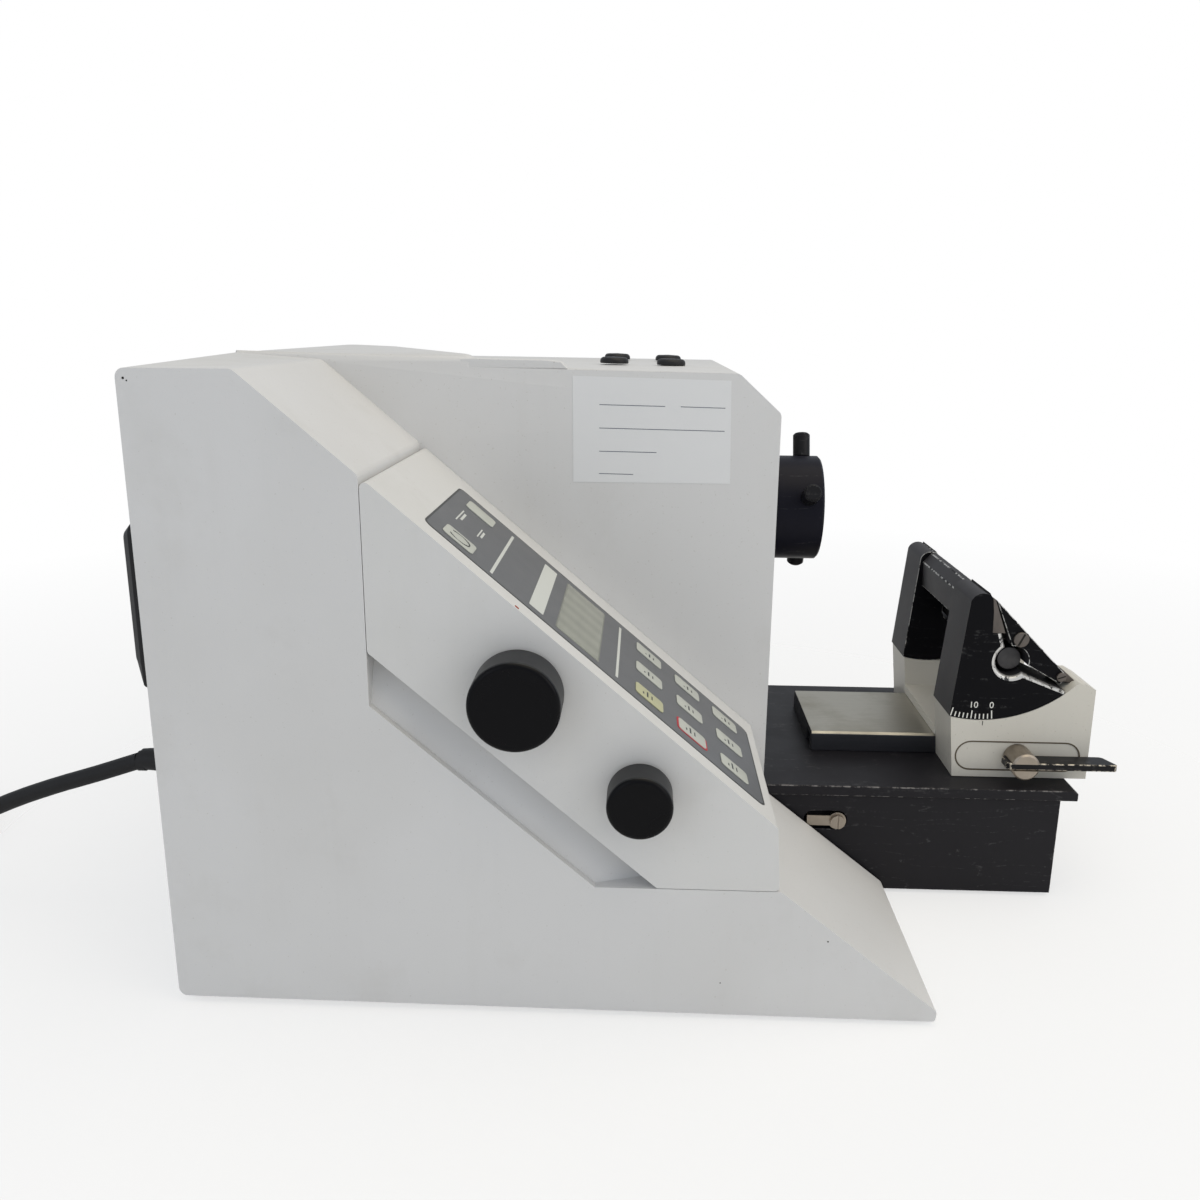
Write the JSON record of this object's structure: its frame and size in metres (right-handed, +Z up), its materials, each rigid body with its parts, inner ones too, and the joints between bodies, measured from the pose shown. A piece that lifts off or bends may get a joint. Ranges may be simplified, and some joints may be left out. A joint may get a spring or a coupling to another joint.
{
  "type": "rotary microtome",
  "caption": "Bench rotary microtome: housing with side control pod, crank-driven specimen head on a vertical carriage, and a tilting knife holder that slides on a steel guide.",
  "frame": {"origin": "middle of the machine's outline seen from above, at table height under the feet", "axes": "+X points from the rear panel to the knife holder, along the specimen feed; +Y points from the control pod to the handwheel, along the main shaft; +Z up"},
  "size_m": [0.795, 0.4529, 0.2975],
  "materials": {
    "cover_paint": "satin light grey moulded cover",
    "pod_paint": "satin warm grey",
    "cast_floor": "rough cast, painted grey",
    "foot_rubber": "matt",
    "sheet_metal": "satin grey",
    "foil": "fine matt foil with pale embossed keys",
    "display_pane": "tinted clear",
    "circuit_board": "green lacquer",
    "knob_black": "glossy face, fine textured skirt",
    "black_plastic": "fine matt",
    "steel": "ground",
    "machine_paint": "machined casting",
    "transformer_core": "varnished core",
    "wheel_paint": "satin light grey",
    "motor_black": "satin black",
    "belt_rubber": "matt",
    "carriage_alloy": "machined",
    "head_anodised": "black anodised",
    "base_black": "black paint with worn edges",
    "guide_steel": "ground, dulled",
    "holder_paint": "satin ivory",
    "segment_black": "black finish with bare worn edges",
    "nickel": "dull nickel",
    "cord_black": "smooth matt"
  },
  "bodies": {
    "housing": {"floor_plate": "cast_floor", "rubber_feet": "foot_rubber", "main_cover": "cover_paint", "right_cover": "cover_paint", "rear_panel": "sheet_metal", "control_pod": "pod_paint", "keypad_foil": "foil", "display_window": "display_pane", "control_board": "circuit_board", "knob_encoders": "black_plastic", "top_studs": "foot_rubber", "fan_cover": "black_plastic", "fan_frame": "black_plastic", "power_inlet": "black_plastic", "transformer": "transformer_core", "main_frame": "machine_paint", "guide_rails": "steel", "shaft_bearings": "steel", "drive_motor": "motor_black", "drive_belt": "belt_rubber", "knife_base": "base_black", "base_top_plate": "base_black", "guide_plate": "guide_steel", "guide_screws": "steel", "base_clip": "nickel", "base_clip_screw": "steel", "cord_connector": "cord_black", "cord_run": "cord_black", "cord_coil": "cord_black", "mains_plug": "cord_black"},
    "crank": {"main_shaft": "steel", "crank_disc": "machine_paint", "shaft_pulley": "steel", "handwheel": "wheel_paint", "grip_spindle": "steel"},
    "grip": {"handwheel_grip": "knob_black"},
    "lock": {"lock_lever": "black_plastic"},
    "motor_rotor": {"motor_pulley": "steel"},
    "carriage_body": {"carriage": "carriage_alloy", "slot_shutter": "motor_black", "feed_motor": "motor_black"},
    "screw": {"feed_screw": "steel"},
    "ram": {"specimen_cylinder": "steel", "specimen_head": "head_anodised"},
    "clamp_screw_top": {"head_screw_top": "head_anodised"},
    "clamp_screw_side": {"head_screw_side": "head_anodised"},
    "clamp_screw_low": {"head_screw_low": "head_anodised"},
    "coarse_knob": {"coarse_feed_knob": "knob_black"},
    "small_knob": {"speed_knob": "knob_black"},
    "fan": {"fan_rotor": "black_plastic"},
    "rocker": {"power_switch": "black_plastic"},
    "holder": {"holder_base": "holder_paint", "holder_side_plate": "holder_paint"},
    "holder_lever": {"clamp_shaft": "nickel", "clamp_lever": "segment_black"},
    "tilting_segment": {"segment": "segment_black", "back_strip": "steel", "clamp_bar": "steel"},
    "clamp_plate": {"pressure_plate": "segment_black", "plate_screws": "steel"}
  },
  "joints": [
    {"name": "handwheel_spin", "type": "hinge", "parent": "housing", "child": "crank", "pos_m": [-0.018, 0.152, 0.1726], "axis": [0, 1, 0], "continuous": true},
    {"name": "grip_spin", "type": "hinge", "parent": "crank", "child": "grip", "pos_m": [0.041, 0.171, 0.1726], "axis": [0, 1, 0], "continuous": true},
    {"name": "handwheel_lock", "type": "hinge", "parent": "housing", "child": "lock", "pos_m": [0.026, 0.144, 0.07], "axis": [0, 1, 0], "range_deg": [0, 50]},
    {"name": "motor_spin", "type": "hinge", "parent": "housing", "child": "motor_rotor", "pos_m": [-0.13, 0.114, 0.092], "axis": [0, 1, 0], "continuous": true},
    {"name": "carriage_lift", "type": "slide", "parent": "housing", "child": "carriage_body", "axis": [0, 0, 1], "range_m": [-0.07, 0]},
    {"name": "specimen_feed", "type": "slide", "parent": "carriage_body", "child": "ram", "axis": [1, 0, 0], "range_m": [0, 0.028]},
    {"name": "feed_screw_spin", "type": "hinge", "parent": "carriage_body", "child": "screw", "pos_m": [-0.088, 0.002, 0.2076], "axis": [1, 0, 0], "range_deg": [0, 2520]},
    {"name": "head_screw_top_turn", "type": "hinge", "parent": "ram", "child": "clamp_screw_top", "pos_m": [0.0785, 0.002, 0.2076], "axis": [0, 0.342, 0.9397], "range_deg": [0, 360]},
    {"name": "head_screw_side_turn", "type": "hinge", "parent": "ram", "child": "clamp_screw_side", "pos_m": [0.0785, 0.002, 0.2076], "axis": [0, -0.9397, 0.342], "range_deg": [0, 360]},
    {"name": "head_screw_low_turn", "type": "hinge", "parent": "ram", "child": "clamp_screw_low", "pos_m": [0.0785, 0.002, 0.2076], "axis": [0, 0.342, -0.9397], "range_deg": [0, 360]},
    {"name": "coarse_feed_turn", "type": "hinge", "parent": "housing", "child": "coarse_knob", "pos_m": [-0.0689, -0.201, 0.1594], "axis": [0, -1, 0], "continuous": true},
    {"name": "speed_turn", "type": "hinge", "parent": "housing", "child": "small_knob", "pos_m": [-0.016, -0.201, 0.114], "axis": [0, -1, 0], "range_deg": [0, 280]},
    {"name": "fan_spin", "type": "hinge", "parent": "housing", "child": "fan", "pos_m": [-0.232, -0.1465, 0.1915], "axis": [1, 0, 0], "continuous": true},
    {"name": "mains_rocker", "type": "hinge", "parent": "housing", "child": "rocker", "pos_m": [-0.23, -0.081, 0.09], "axis": [0, 1, 0], "range_deg": [0, 12]},
    {"name": "holder_slide", "type": "slide", "parent": "housing", "child": "holder", "axis": [1, 0, 0], "range_m": [-0.03, 0.01]},
    {"name": "holder_lever_turn", "type": "hinge", "parent": "holder", "child": "holder_lever", "pos_m": [0.1965, -0.066, 0.0786], "axis": [0, 1, 0], "range_deg": [-110, 0]},
    {"name": "segment_tilt", "type": "hinge", "parent": "holder", "child": "tilting_segment", "pos_m": [0.1735, 0.002, 0.1722], "axis": [0, -1, 0], "range_deg": [-4.5, 13.5]},
    {"name": "clamp_plate_open", "type": "hinge", "parent": "tilting_segment", "child": "clamp_plate", "pos_m": [0.1872, 0.002, 0.1342], "axis": [0, 1, 0], "range_deg": [0, 2.5]}
  ],
  "couplings": [
    {"joint": "motor_spin", "follows": "handwheel_spin", "ratio": 3},
    {"joint": "feed_screw_spin", "follows": "specimen_feed", "rad_per_m": 1570.8}
  ]
}
